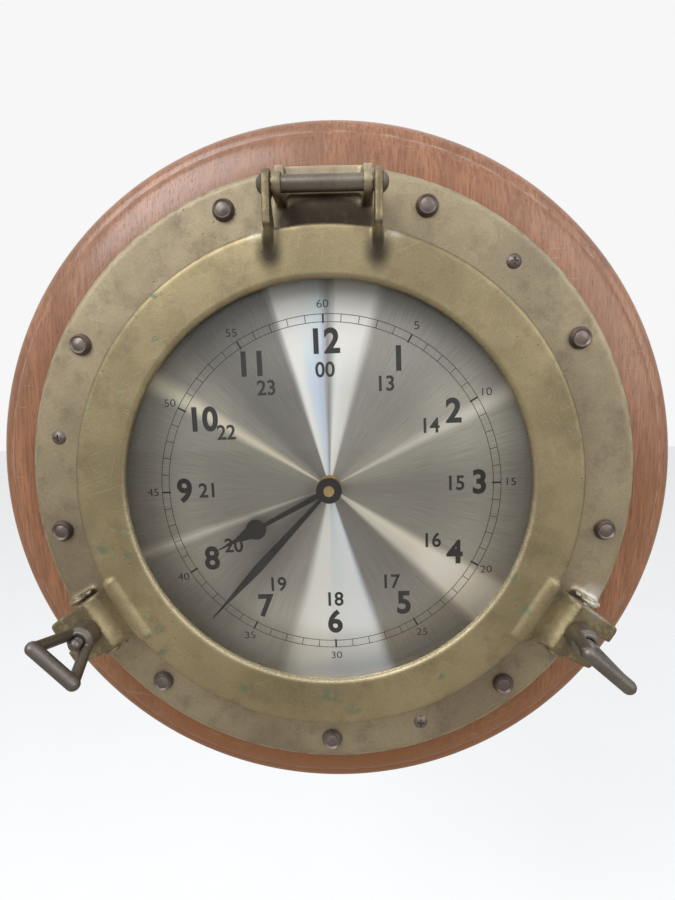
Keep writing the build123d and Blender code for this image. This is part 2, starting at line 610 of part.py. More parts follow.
with BuildPart() as circuit_board:
    with BuildSketch(dial.offset(inside_back + 0.3)):
        with Locations((22.2, 1.0)):
            Rectangle(7.6, 22)
    extrude(amount=0.8)
    with BuildSketch(dial.offset(inside_back + 1.1)):
        with Locations((22.2, 3.0)):
            Circle(2.6)
    extrude(amount=1.0)
save(circuit_board, "circuit_board")

# Two-part case: the front shell carries the motion wheel's stud, the back cover leaves the battery open
pivots = [third, second, reduction, rotor]
with BuildPart() as movement_case:
    with BuildSketch(dial.offset(case_back + case_wall)):
        RectangleRounded(case_size, case_size, 3)
    extrude(amount=case_depth - case_wall)
    with BuildSketch(dial.offset(case_back + case_wall)):
        RectangleRounded(case_size - 2 * case_wall, case_size - 2 * case_wall, 2)
    extrude(amount=inside_front - inside_back, mode=Mode.SUBTRACT)
    shaft(centre, inside_front, case_front, bush_radius, Mode.SUBTRACT)
    for place in pivots:
        shaft(place, inside_front, case_front, arbor_radius + turning_fit, Mode.SUBTRACT)
    shaft(setting, inside_front, case_front, 1.0 + turning_fit, Mode.SUBTRACT)
    shaft(motion, 21.6, inside_front, 0.7)
save(movement_case, "movement_case")
with BuildPart() as movement_cover:
    with BuildSketch(dial.offset(case_back)):
        RectangleRounded(case_size, case_size, 3)
        with Locations((0, -battery_drop)):
            Rectangle(2 * battery_half + 1, 2 * battery_radius + 0.2, mode=Mode.SUBTRACT)
    extrude(amount=case_wall)
    for place in pivots:
        shaft(place, case_back, inside_back, arbor_radius + turning_fit, Mode.SUBTRACT)
    shaft(centre, case_back, inside_back, 0.9 + turning_fit, Mode.SUBTRACT)
    shaft(setting, case_back, inside_back, 1.0 + turning_fit, Mode.SUBTRACT)
save(movement_cover, "movement_cover")
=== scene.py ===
import math

import bpy
from mathutils import Matrix, Vector


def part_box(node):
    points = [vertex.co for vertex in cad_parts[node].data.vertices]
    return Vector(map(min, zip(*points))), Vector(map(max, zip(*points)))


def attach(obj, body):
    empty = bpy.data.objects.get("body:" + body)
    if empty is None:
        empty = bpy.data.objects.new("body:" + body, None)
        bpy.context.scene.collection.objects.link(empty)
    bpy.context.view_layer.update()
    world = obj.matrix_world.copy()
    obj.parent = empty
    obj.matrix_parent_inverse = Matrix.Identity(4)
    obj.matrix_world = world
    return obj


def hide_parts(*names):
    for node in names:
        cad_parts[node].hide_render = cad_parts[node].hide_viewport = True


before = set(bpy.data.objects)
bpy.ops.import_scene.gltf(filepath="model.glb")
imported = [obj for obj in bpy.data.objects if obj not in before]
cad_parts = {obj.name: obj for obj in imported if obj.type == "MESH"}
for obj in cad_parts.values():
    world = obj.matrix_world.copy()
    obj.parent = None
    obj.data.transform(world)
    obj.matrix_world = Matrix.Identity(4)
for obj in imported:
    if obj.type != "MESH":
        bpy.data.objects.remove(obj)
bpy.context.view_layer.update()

# ---------------------------------------------------------------- wooden board
# A disc of mahogany about 28 mm thick, turned on a lathe with a rounded edge and a small step, then stained
# and varnished. Its back has a square pocket for the movement and a slot for the hanger. It hangs flat on
# the wall, and all else is fixed to it.
MM = 0.001
DROP = 125.0                # the porthole's axis, below the hanging point, in mm
DIAL_DROP = 129.6           # the dial's centre and the movement, a little lower
ROLL = 1.5                  # degrees that the dial and the movement stand turned to the left


def alone(piece):
    """Leaves just this piece selected and active."""
    bpy.ops.object.select_all(action="DESELECT")
    piece.select_set(True)
    bpy.context.view_layer.objects.active = piece


def tidy_mesh(piece, angle=32, gap=1e-6):
    """Settles the place into the mesh, merges doubled points, turns faces outwards and smooths shading."""
    alone(piece)
    bpy.ops.object.transform_apply(location=True, rotation=True, scale=True)
    bpy.ops.object.mode_set(mode="EDIT")
    bpy.ops.mesh.select_all(action="SELECT")
    bpy.ops.mesh.remove_doubles(threshold=gap)
    bpy.ops.mesh.normals_make_consistent(inside=False)
    bpy.ops.object.mode_set(mode="OBJECT")
    bpy.ops.object.shade_smooth_by_angle(angle=math.radians(angle))


def turned(name, profile, steps=256, at=(0.0, DROP), angle=32):
    """A piece turned on the lathe: a circle pushed out from the wall and resized along a profile of radii
    and heights from the wall, in mm. Its axis is across and below the hanging point by the numbers of at."""
    radius, height = profile[0]
    centre = (at[0] * MM, -at[1] * MM)
    bpy.ops.object.select_all(action="DESELECT")
    bpy.ops.mesh.primitive_circle_add(vertices=steps, radius=radius * MM, rotation=(math.pi / 2, 0, 0),
                                      location=(centre[0], -height * MM, centre[1]))
    piece = bpy.context.object
    piece.name = name
    bpy.ops.object.mode_set(mode="EDIT")
    for wider, higher in profile[1:]:
        bpy.ops.mesh.extrude_region_move(TRANSFORM_OT_translate={"value": (0, (height - higher) * MM, 0)})
        share = wider / radius
        bpy.ops.transform.resize(value=(share, 1, share),
                                 center_override=(centre[0], -higher * MM, centre[1]))
        radius, height = wider, higher
    bpy.ops.object.mode_set(mode="OBJECT")
    tidy_mesh(piece, angle)
    return piece


def arc(centre, radius, start, end, steps):
    """Points along an arc of a profile, from one angle to another, in degrees."""
    turns = [math.radians(start + (end - start) * k / steps) for k in range(steps + 1)]
    return [(centre[0] + radius * math.cos(t), centre[1] + radius * math.sin(t)) for t in turns]


def put(tree, kind, values=None, **settings):
    """Adds a node, and sets or wires its inputs."""
    node = tree.nodes.new(kind)
    for key, value in settings.items():
        setattr(node, key, value)
    for key, value in (values or {}).items():
        if isinstance(value, bpy.types.NodeSocket):
            tree.links.new(value, node.inputs[key])
        else:
            node.inputs[key].default_value = value
    return node


def sums(tree, operation, *terms):
    """One step of arithmetic on sockets or numbers."""
    return put(tree, "ShaderNodeMath", dict(enumerate(terms)), operation=operation).outputs[0]


def blend(tree, share, under, over, way="MIX"):
    """Two colours mixed, with that share of the second."""
    return put(tree, "ShaderNodeMix", {0: share, 6: under, 7: over},
               data_type="RGBA", blend_type=way).outputs[2]


def fade(tree, value, low, high, start=0.0, end=1.0):
    """Eases from start to end as the value climbs from low to high."""
    node = put(tree, "ShaderNodeMapRange", {0: value, 1: low, 2: high, 3: start, 4: end},
               interpolation_type="SMOOTHSTEP")
    return node.outputs[0]


def mottle(tree, place, stretch, detail=4.0, rough=0.55):
    """Noise at a place, with that many cells to the metre along X, Y and Z."""
    spread = put(tree, "ShaderNodeMapping", {"Vector": place, "Scale": stretch})
    return put(tree, "ShaderNodeTexNoise", {"Vector": spread.outputs[0], "Scale": 1.0, "Detail": detail,
                                            "Roughness": rough}).outputs[0]


def new_group(name, inputs, outputs):
    """An empty shader group, its input sockets and its output sockets."""
    tree = bpy.data.node_groups.new(name, "ShaderNodeTree")
    for label, kind, value in inputs:
        socket = tree.interface.new_socket(label, in_out="INPUT", socket_type="NodeSocket" + kind)
        if value is not None:
            socket.default_value = value
    for label, kind in outputs:
        tree.interface.new_socket(label, in_out="OUTPUT", socket_type="NodeSocket" + kind)
    return tree, tree.nodes.new("NodeGroupInput").outputs, tree.nodes.new("NodeGroupOutput").inputs


def finish_material(name, **sockets):
    """A material, its node tree, its shader and its place; sockets set the shader's own values."""
    made = bpy.data.materials.new(name)
    made.use_nodes = True
    shader = made.node_tree.nodes["Principled BSDF"]
    for key, value in sockets.items():
        shader.inputs[key.replace("_", " ")].default_value = value
    place = put(made.node_tree, "ShaderNodeTexCoord").outputs["Object"]
    return made, made.node_tree, shader, place


def lay_on(tree, shader, look, bump=0.3, depth=0.0004):
    """Wires a group's colour, roughness and height to the shader."""
    tree.links.new(look.outputs["Colour"], shader.inputs["Base Color"])
    tree.links.new(look.outputs["Roughness"], shader.inputs["Roughness"])
    relief = put(tree, "ShaderNodeBump", {"Strength": bump, "Distance": depth,
                                          "Height": look.outputs["Height"]})
    tree.links.new(relief.outputs[0], shader.inputs["Normal"])


def dress(piece, made):
    """Gives a piece this material alone."""
    piece.data.materials.clear()
    piece.data.materials.append(made)


# Where a point lies round the porthole: its radius and height in mm, and its turn clockwise, from 0 to 1
clock_place, given, out = new_group(
    "place_on_clock",
    [("Position", "Vector", None), ("Drop", "Float", DROP)],
    [("Radius", "Float"), ("Turn", "Float"), ("Height", "Float")])
apart = put(clock_place, "ShaderNodeSeparateXYZ", {0: given["Position"]})
across = sums(clock_place, "MULTIPLY", apart.outputs[0], 1000.0)
upward = sums(clock_place, "MULTIPLY_ADD", apart.outputs[2], 1000.0, given["Drop"])
reach = sums(clock_place, "SQRT", sums(clock_place, "ADD", sums(clock_place, "MULTIPLY", across, across),
                                       sums(clock_place, "MULTIPLY", upward, upward)))
clock_place.links.new(reach, out["Radius"])
angle_of = sums(clock_place, "MULTIPLY", sums(clock_place, "ARCTAN2", across, upward), 0.5 / math.pi)
clock_place.links.new(sums(clock_place, "FRACT", sums(clock_place, "ADD", angle_of, 1.0)), out["Turn"])
clock_place.links.new(sums(clock_place, "MULTIPLY", apart.outputs[1], -1000.0), out["Height"])

wood_look, given, out = new_group(
    "varnished_mahogany",
    [("Position", "Vector", None), ("Light", "Color", (0.40, 0.185, 0.095, 1)),
     ("Dark", "Color", (0.19, 0.073, 0.032, 1)), ("Shade_Tone", "Color", (0.21, 0.07, 0.012, 1)),
     ("Dust", "Color", (0.52, 0.42, 0.34, 1))],
    [("Colour", "Color"), ("Roughness", "Float"), ("Height", "Float")])
place = given["Position"]
where = put(wood_look, "ShaderNodeGroup", {"Position": place}, node_tree=clock_place)
sweep = sums(wood_look, "ABSOLUTE", sums(wood_look, "SUBTRACT", where.outputs["Turn"], 0.5))
apart = put(wood_look, "ShaderNodeSeparateXYZ", {0: place})
deep = sums(wood_look, "MULTIPLY_ADD", apart.outputs[0], 40.0, where.outputs["Height"])
turning = put(wood_look, "ShaderNodeCombineXYZ", {0: sweep, 1: where.outputs["Radius"], 2: deep}).outputs[0]
bands = mottle(wood_look, place, (55.0, 55.0, 6.0), 3.0, 0.6)
streaks = mottle(wood_look, place, (820.0, 820.0, 42.0), 6.0, 0.7)
pores = mottle(wood_look, place, (1900.0, 1900.0, 150.0), 2.0, 0.5)
tone = blend(wood_look, fade(wood_look, bands, 0.25, 0.75, 0.3, 1.0), given["Dark"], given["Light"])
tone = blend(wood_look, fade(wood_look, streaks, 0.36, 0.6, 0.75, 0.0), tone, given["Dark"])
tone = blend(wood_look, fade(wood_look, pores, 0.6, 0.72, 0.0, 0.55), tone, (0.07, 0.026, 0.016, 1))
# Painted shade: the lower part of the board turns darker and more orange.
shade_below = fade(wood_look, apart.outputs[2], -0.30, -0.17, 0.85, 0.0)
tone = blend(wood_look, shade_below, tone, given["Shade_Tone"])
scuffs = mottle(wood_look, place, (55.0, 55.0, 1300.0), 2.0, 0.5)
scuffs = sums(wood_look, "MULTIPLY", fade(wood_look, scuffs, 0.66, 0.74),
              fade(wood_look, mottle(wood_look, place, (40.0, 40.0, 40.0)), 0.5, 0.62))
rings = mottle(wood_look, turning, (52.0, 2.4, 0.5), 3.0, 0.5)
scuffs = sums(wood_look, "MAXIMUM", scuffs, fade(wood_look, rings, 0.66, 0.71, 0.0, 0.7))
step = sums(wood_look, "ABSOLUTE", sums(wood_look, "SUBTRACT", where.outputs["Radius"], 171.2))
step = sums(wood_look, "ADD", step, fade(wood_look, where.outputs["Height"], 12.0, 20.0, 3.0, 0.0))
worn = sums(wood_look, "MULTIPLY", fade(wood_look, step, 0.2, 1.1, 1.0, 0.0),
            fade(wood_look, mottle(wood_look, place, (120.0, 120.0, 120.0)), 0.42, 0.6))
scuffs = sums(wood_look, "MULTIPLY", sums(wood_look, "MAXIMUM", scuffs, worn), 0.4)
tone = blend(wood_look, scuffs, tone, given["Dust"])
wood_look.links.new(tone, out["Colour"])
wood_look.links.new(sums(wood_look, "MULTIPLY_ADD", streaks, 0.12, 0.27), out["Roughness"])
wood_look.links.new(sums(wood_look, "SUBTRACT", sums(wood_look, "MULTIPLY", streaks, 0.6),
                         fade(wood_look, pores, 0.6, 0.72, 0.0, 0.8)), out["Height"])

board_profile = [(0.001, 0.0), (177.4, 0.0)] + arc((177.5, 1.5), 1.5, -90, 0, 6)
board_profile += arc((171.2, 15.5), 7.8, 0, 90, 18) + [(170.9, 24.4)]
board_profile += [(170.0, 25.2), (167.4, 26.1), (164.0, 26.9), (160.0, 27.5), (156.0, 27.9), (152.0, 28.0),
                  (0.001, 28.0)]
board = turned("turned_board", board_profile, 320)


def recess_block(name, size, at, corner, turn=0.0):
    """A block that cuts a recess of that width, depth and length in mm, with four rounded corners."""
    bpy.ops.object.select_all(action="DESELECT")
    bpy.ops.mesh.primitive_cube_add(size=1, location=[k * MM for k in at],
                                    rotation=(0, math.radians(turn), 0))
    block = bpy.context.object
    block.name = name
    block.scale = [k * MM for k in size]
    bpy.ops.object.transform_apply(location=True, rotation=True, scale=True)
    bpy.ops.object.mode_set(mode="EDIT")
    bpy.ops.mesh.select_mode(type="EDGE")
    bpy.ops.mesh.select_all(action="DESELECT")
    bpy.ops.object.mode_set(mode="OBJECT")
    for edge in block.data.edges:
        ends = [block.data.vertices[k].co for k in edge.vertices]
        edge.select = abs(ends[0].y - ends[1].y) > 1e-4
    bpy.ops.object.mode_set(mode="EDIT")
    bpy.ops.mesh.bevel(offset=corner * MM, segments=6, affect="EDGES")
    bpy.ops.mesh.select_mode(type="VERT")
    bpy.ops.object.mode_set(mode="OBJECT")
    return block


def cut_away(piece, tool):
    """Cuts the tool's shape out of the piece."""
    alone(piece)
    cut = piece.modifiers.new("cut", "BOOLEAN")
    cut.object, cut.operation, cut.solver = tool, "DIFFERENCE", "EXACT"
    bpy.ops.object.modifier_apply(modifier=cut.name)
    bpy.data.objects.remove(tool)


cut_away(board, recess_block("pocket", (62, 40, 62), (0, -14, -DIAL_DROP), 5, -ROLL))
cut_away(board, recess_block("hanger_recess", (20.4, 3.2, 56.4), (0, 0, -6), 3.8))
cut_away(board, recess_block("head_room", (13, 18, 28), (0, -1.6, -6), 3.8))
tidy_mesh(board)
mahogany, tree, shader, place = finish_material("varnished_mahogany", Coat_Weight=0.3, Coat_Roughness=0.2,
                                                Specular_IOR_Level=0.5)
lay_on(tree, shader, put(tree, "ShaderNodeGroup", {"Position": place}, node_tree=wood_look), 0.35, 0.0003)
dress(board, mahogany)
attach(board, "clock")
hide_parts("backboard")

# ---------------------------------------------------------------- keyhole hanger
# A stamped steel plate with a keyhole, zinc plated, let in flush with the board's back and held by two
# countersunk screws. One wall screw's head goes in at the round mouth, and the plate drops on its shank.
metal_look, given, out = new_group(
    "drawn_metal",
    [("Position", "Vector", None), ("Light", "Color", (0.6, 0.6, 0.6, 1)),
     ("Dark", "Color", (0.4, 0.4, 0.4, 1)), ("Lines", "Vector", (300.0, 300.0, 3000.0)),
     ("Sheen", "Float", 0.32)],
    [("Colour", "Color"), ("Roughness", "Float"), ("Height", "Float")])
spread = put(metal_look, "ShaderNodeVectorMath", {0: given["Position"], 1: given["Lines"]},
             operation="MULTIPLY")
lines = put(metal_look, "ShaderNodeTexNoise", {"Vector": spread.outputs[0], "Scale": 1.0,
                                               "Detail": 3.0}).outputs[0]
cloud = mottle(metal_look, given["Position"], (160.0, 160.0, 160.0), 4.0, 0.6)
tone = blend(metal_look, fade(metal_look, lines, 0.3, 0.7), given["Dark"], given["Light"])
tone = blend(metal_look, fade(metal_look, cloud, 0.48, 0.75, 0.0, 0.5), tone, given["Dark"])
metal_look.links.new(tone, out["Colour"])
metal_look.links.new(sums(metal_look, "MULTIPLY_ADD", cloud, 0.18, given["Sheen"]), out["Roughness"])
metal_look.links.new(lines, out["Height"])


def drawn_metal(name, light, dark, lines=(300.0, 300.0, 3000.0), sheen=0.3, bump=0.2, **sockets):
    """A metal with drawn, rolled or turned lines in two tones."""
    made, tree, shader, place = finish_material(name, Metallic=1.0, **sockets)
    look = put(tree, "ShaderNodeGroup", {"Position": place, "Light": light + (1,), "Dark": dark + (1,),
                                         "Lines": lines, "Sheen": sheen}, node_tree=metal_look)
    lay_on(tree, shader, look, bump, 0.0001)
    return made


zinc = drawn_metal("zinc_plate", (0.66, 0.67, 0.68), (0.46, 0.47, 0.48), (200.0, 200.0, 2600.0), 0.28)
dress(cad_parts["keyhole_hanger"], zinc)
screw_zinc = drawn_metal("screw_zinc", (0.6, 0.6, 0.58), (0.4, 0.4, 0.38), (1500.0, 300.0, 1500.0))
dress(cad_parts["hanger_screws"], screw_zinc)

# ---------------------------------------------------------------- porthole flange
# The fixed outer ring of the port: sand-cast brass, its face machined once and long since gone dull and
# brown. The hinge's two knuckles and the four ears of the clamp brackets are cast on it.


def as_cast(node, name, grain, passes, roots=(), rim=(0.0, 1.0), most=190000):
    """A CAD piece skinned at a fine grain and eased, so that its corners and roots round off as on a
    casting. Each of the roots is a place and a reach in mm, within which the casting flows more. The rim is
    a radius round the porthole and a reach, where it flows too."""
    piece = bpy.data.objects.new(name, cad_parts[node].data.copy())
    bpy.context.scene.collection.objects.link(piece)
    piece.data.materials.clear()
    alone(piece)
    bpy.ops.object.mode_set(mode="EDIT")
    bpy.ops.mesh.select_all(action="SELECT")
    bpy.ops.mesh.remove_doubles(threshold=1e-6)
    bpy.ops.object.mode_set(mode="OBJECT")
    skin = piece.modifiers.new("skin", "REMESH")
    skin.mode, skin.voxel_size, skin.adaptivity = "VOXEL", grain * MM, 0.0
    bpy.ops.object.modifier_apply(modifier=skin.name)
    ease = piece.modifiers.new("ease", "SMOOTH")
    ease.factor, ease.iterations = 0.5, passes
    bpy.ops.object.modifier_apply(modifier=ease.name)
    if roots:
        flowing = piece.vertex_groups.new(name="flowing")
        for point in piece.data.vertices:
            spot = point.co / MM
            share = 1.0 - abs(math.hypot(spot.x, spot.z + DROP) - rim[0]) / rim[1]
            share = max([share] + [1.0 - (spot - Vector(at)).length / reach for at, reach in roots])
            if share > 0:
                flowing.add([point.index], min(1.0, 2 * share), "REPLACE")
        flow = piece.modifiers.new("flow", "SMOOTH")
        flow.factor, flow.iterations, flow.vertex_group = 0.5, 30, flowing.name
        bpy.ops.object.modifier_apply(modifier=flow.name)
        piece.vertex_groups.clear()
    count = sum(len(face.vertices) - 2 for face in piece.data.polygons)
    if count > most:
        thin = piece.modifiers.new("thin", "DECIMATE")
        thin.ratio = most / count
        bpy.ops.object.modifier_apply(modifier=thin.name)
    tidy_mesh(piece, 60, 1e-7)
    return piece


def grey(tree, value):
    """A value as a grey of that brightness."""
    return put(tree, "ShaderNodeCombineColor", {0: value, 1: value, 2: value}).outputs[0]


brass_look, given, out = new_group(
    "old_brass",
    [("Position", "Vector", None), ("Bright", "Color", (0.5, 0.4, 0.2, 1)),
     ("Dull", "Color", (0.3, 0.25, 0.15, 1)), ("Brown", "Color", (0.16, 0.12, 0.08, 1)),
     ("Verdigris", "Float", 0.0), ("Scratches", "Float", 0.4), ("Sheen", "Float", 0.42)],
    [("Colour", "Color"), ("Roughness", "Float"), ("Height", "Float")])
place = given["Position"]
clouds = mottle(brass_look, place, (17.0, 17.0, 17.0), 3.0, 0.55)
stains = mottle(brass_look, place, (75.0, 75.0, 75.0), 6.0, 0.68)
grain = mottle(brass_look, place, (900.0, 900.0, 900.0), 3.0, 0.6)
tone = blend(brass_look, fade(brass_look, clouds, 0.34, 0.64), given["Dull"], given["Bright"])
tone = blend(brass_look, fade(brass_look, stains, 0.47, 0.72, 0.0, 0.45), tone, given["Brown"])
tone = blend(brass_look, fade(brass_look, stains, 0.28, 0.42, 0.35, 0.0), tone, given["Bright"])
tone = blend(brass_look, 0.22, tone, grey(brass_look, grain), "OVERLAY")
cells = put(brass_look, "ShaderNodeTexVoronoi", {"Vector": place, "Scale": 260.0, "Randomness": 1.0})
pits = sums(brass_look, "MULTIPLY", fade(brass_look, cells.outputs["Distance"], 0.05, 0.16, 1.0, 0.0),
            fade(brass_look, mottle(brass_look, place, (60.0, 60.0, 60.0), 2.0), 0.52, 0.62))
tone = blend(brass_look, sums(brass_look, "MULTIPLY", pits, 0.75), tone, given["Brown"])
hairs = 0.0
for tilt, way in ((0.35, (60.0, 60.0, 2400.0)), (-0.8, (75.0, 75.0, 2000.0)), (1.35, (50.0, 50.0, 2600.0))):
    tilted = put(brass_look, "ShaderNodeMapping", {"Vector": place, "Rotation": (0, tilt, 0)})
    hair = fade(brass_look, mottle(brass_look, tilted.outputs[0], way, 2.0, 0.4), 0.70, 0.75)
    hairs = sums(brass_look, "MAXIMUM", hair, hairs)
hairs = sums(brass_look, "MULTIPLY", hairs, given["Scratches"])
tone = blend(brass_look, hairs, tone, (0.62, 0.55, 0.38, 1))
bloom = mottle(brass_look, place, (210.0, 210.0, 210.0), 8.0, 0.78)
crust = sums(brass_look, "MULTIPLY", fade(brass_look, bloom, 0.56, 0.66),
             fade(brass_look, mottle(brass_look, place, (34.0, 34.0, 34.0), 3.0, 0.5), 0.53, 0.64))
crust = sums(brass_look, "MULTIPLY", crust, given["Verdigris"])
green = blend(brass_look, bloom, (0.07, 0.18, 0.12, 1), (0.30, 0.46, 0.36, 1))
tone = blend(brass_look, crust, tone, green)
brass_look.links.new(tone, out["Colour"])
rough = sums(brass_look, "MULTIPLY_ADD", stains, 0.26, given["Sheen"])
rough = sums(brass_look, "ADD", rough, sums(brass_look, "MULTIPLY", crust, 0.3))
brass_look.links.new(rough, out["Roughness"])
relief = sums(brass_look, "MULTIPLY_ADD", grain, 0.35, sums(brass_look, "MULTIPLY", stains, 0.8))
sunk = sums(brass_look, "MULTIPLY_ADD", pits, 1.2, hairs)
relief = sums(brass_look, "SUBTRACT", relief, sunk)
brass_look.links.new(sums(brass_look, "ADD", relief, crust), out["Height"])


def old_brass(name, bright, dull, brown, verdigris=0.0, scratches=0.4, sheen=0.4, metallic=0.9, bump=0.35):
    """Weathered brass, with its look left open for a piece's own wear."""
    made, tree, shader, place = finish_material(name, Metallic=metallic)
    look = put(tree, "ShaderNodeGroup", {"Position": place, "Bright": bright + (1,), "Dull": dull + (1,),
                                         "Brown": brown + (1,), "Verdigris": verdigris,
                                         "Scratches": scratches, "Sheen": sheen}, node_tree=brass_look)
    lay_on(tree, shader, look, bump, 0.0003)
    return made, tree, shader, place, look


def near(tree, place, at, size, core=0.45):
    """1 about a point, easing to 0 at the skin of an ellipsoid; its place and half sizes are in mm."""
    apart = put(tree, "ShaderNodeVectorMath", {0: place, 1: [k * MM for k in at]}, operation="SUBTRACT")
    apart = put(tree, "ShaderNodeVectorMath", {0: apart.outputs[0], 1: [1 / (k * MM) for k in size]},
                operation="MULTIPLY")
    far = put(tree, "ShaderNodeVectorMath", {0: apart.outputs[0]}, operation="LENGTH").outputs["Value"]
    return fade(tree, far, core, 1.0, 1.0, 0.0)


def hinge_dirt(tree, place, radius, tone, smudge):
    """Painted shadow in the recess under the hinge pin, and white deposits beside it and at the right clamp.
    """
    # Painted shadow: dark brown in the recess under the hinge pin.
    recess = sums(tree, "MULTIPLY", near(tree, place, (0, -46, -1), (26.5, 26, 13.5), 0.78),
                  fade(tree, smudge, 0.2, 0.5, 0.8, 1.0))
    recess = sums(tree, "MULTIPLY", recess, fade(tree, radius, 118.6, 120.4))
    tone = blend(tree, sums(tree, "MULTIPLY", recess, 0.88), tone, (0.055, 0.042, 0.034, 1))
    white = near(tree, place, (130, -47, -186), (15, 12, 13), 0.3)
    for hand in (-1, 1):
        beside = sums(tree, "MULTIPLY", near(tree, place, (hand * 31, -50, -9), (8, 12, 7)), 0.6)
        white = sums(tree, "MAXIMUM", white, beside)
    white = sums(tree, "MULTIPLY", white, fade(tree, smudge, 0.34, 0.52))
    return blend(tree, sums(tree, "MULTIPLY", white, 0.85), tone, (0.74, 0.72, 0.66, 1))


flange = as_cast("porthole_flange", "cast_flange", 1.0, 3)
flange_brass, tree, shader, place, look = old_brass(
    "flange_brass", (0.40, 0.335, 0.225), (0.29, 0.24, 0.165), (0.175, 0.14, 0.105), 0.2, 0.16, 0.42)
where = put(tree, "ShaderNodeGroup", {"Position": place}, node_tree=clock_place)
smudge = mottle(tree, place, (150.0, 150.0, 150.0), 5.0, 0.6)
# Painted shadow: the flange is darkened just outside the sash's edge.
sash_shadow = sums(tree, "MULTIPLY", fade(tree, where.outputs["Radius"], 120.0, 125.5, 0.75, 0.0),
             fade(tree, smudge, 0.25, 0.6, 0.5, 1.0))
tone = blend(tree, sash_shadow, look.outputs["Colour"], (0.07, 0.058, 0.045, 1))
rim = sums(tree, "MULTIPLY", fade(tree, where.outputs["Radius"], 147.2, 149.2),
           fade(tree, smudge, 0.36, 0.62))
tone = blend(tree, sums(tree, "MULTIPLY", rim, 0.7), tone, (0.56, 0.49, 0.36, 1))
# Painted shadow under the hinge pin, and white deposits.
tone = hinge_dirt(tree, place, where.outputs["Radius"], tone, smudge)
tree.links.new(tone, shader.inputs["Base Color"])
dress(flange, flange_brass)
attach(flange, "clock")
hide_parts("porthole_flange")

# ---------------------------------------------------------------- rivets and screws of the flange
# Nine bronze rivets with hand-set domed heads, and three small cross-head screws between them, hold the
# flange to the board. They have darkened to a purple brown.
dark_bronze = old_brass("rivet_bronze", (0.23, 0.19, 0.17), (0.165, 0.13, 0.12), (0.10, 0.078, 0.072),
                        0.0, 0.0, 0.34, 0.85)[0]
RIVET_CIRCLE = 138.8
for number in range(9):
    turn = math.radians(20 + 40 * number)
    at = (RIVET_CIRCLE * math.sin(turn), DROP - RIVET_CIRCLE * math.cos(turn))
    lean = 0.12 * math.sin(number * 2.3)
    dome = [(5.35, 41.6), (5.35, 42.15)] + arc((0.55, 42.0), 4.72 + lean, 4, 40, 5)
    dome += [(3.2, 44.35), (2.2, 44.72), (1.1, 44.92), (0.001, 44.98)]
    head = turned(f"rivet_{number + 1}", dome, 40, at, 50)
    for point in head.data.vertices:        # hammered unevenly
        bulge = math.sin(point.co.x * 900 + number) * math.cos(point.co.z * 1100 + 2 * number)
        point.co.y -= 0.00009 * bulge if point.co.y < -0.0425 else 0
    dress(head, dark_bronze)
    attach(head, "clock")
    if number == 0:
        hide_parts("flange_rivets")
dress(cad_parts["mounting_screws"], dark_bronze)

# ---------------------------------------------------------------- hinge pin
# A turned bronze rod through the knuckles, with its ends riveted over outside the sash's ears.
pin_bronze = old_brass("pin_bronze", (0.24, 0.21, 0.17), (0.16, 0.138, 0.115), (0.095, 0.08, 0.066),
                       0.0, 0.0, 0.3, 0.9)[0]
dress(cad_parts["hinge_pin"], pin_bronze)

# ---------------------------------------------------------------- sash
# The ring that holds the glass: cast brass, its face dressed flat by hand, with two tall ears that hang on
# the pin and two slotted lugs that the clamps bear on. It is handled most, so it is the yellowest piece.
LUG_TURN, BOLT_CIRCLE = math.radians(121), 141.0
lug_out, lug_up = (math.sin(LUG_TURN), math.cos(LUG_TURN)), (-math.cos(LUG_TURN), math.sin(LUG_TURN))


def on_lug(hand, along, aside, height):
    """A place by a clamp in mm: outwards from its bolt, aside towards the top, and out from the wall."""
    across = BOLT_CIRCLE * lug_out[0] + along * lug_out[0] + aside * lug_up[0]
    upward = BOLT_CIRCLE * lug_out[1] + along * lug_out[1] + aside * lug_up[1]
    return hand * across, -height, upward - DROP


sash_roots = []
for hand in (-1, 1):
    sash_roots += [((hand * 24.4, -58, -20), 9.0), ((hand * 24.4, -60, -11), 7.0)]
    sash_roots += [(on_lug(hand, along, aside, 55), 9.0)
                   for along in (-21, -13) for aside in (-15, -5, 5, 15)]
sash = as_cast("sash_ring", "cast_sash", 0.65, 7, sash_roots, (96.4, 2.4))
sash_brass, tree, shader, place, look = old_brass(
    "sash_brass", (0.405, 0.333, 0.195), (0.29, 0.24, 0.142), (0.185, 0.145, 0.09), 1.0, 0.2, 0.38)
where = put(tree, "ShaderNodeGroup", {"Position": place}, node_tree=clock_place)
smudge = mottle(tree, place, (260.0, 260.0, 260.0), 5.0, 0.65)
inner = fade(tree, where.outputs["Radius"], 97.2, 98.6, 1.0, 0.0)
below = fade(tree, put(tree, "ShaderNodeSeparateXYZ", {0: place}).outputs[2], -0.15, -0.11, 1.0, 0.12)
chips = mottle(tree, place, (1500.0, 1500.0, 1500.0), 6.0, 0.7)
bare = sums(tree, "MULTIPLY", sums(tree, "MULTIPLY", inner, below), fade(tree, chips, 0.38, 0.62))
tone = blend(tree, sums(tree, "MULTIPLY", bare, 0.8), look.outputs["Colour"], (0.60, 0.53, 0.37, 1))
# Painted shadow: a dark line along the sash's outer edge.
edge_shadow = sums(tree, "MULTIPLY", fade(tree, where.outputs["Radius"], 119.2, 120.3),
             fade(tree, smudge, 0.3, 0.55))
tone = blend(tree, sums(tree, "MULTIPLY", edge_shadow, 0.6), tone, (0.12, 0.095, 0.06, 1))
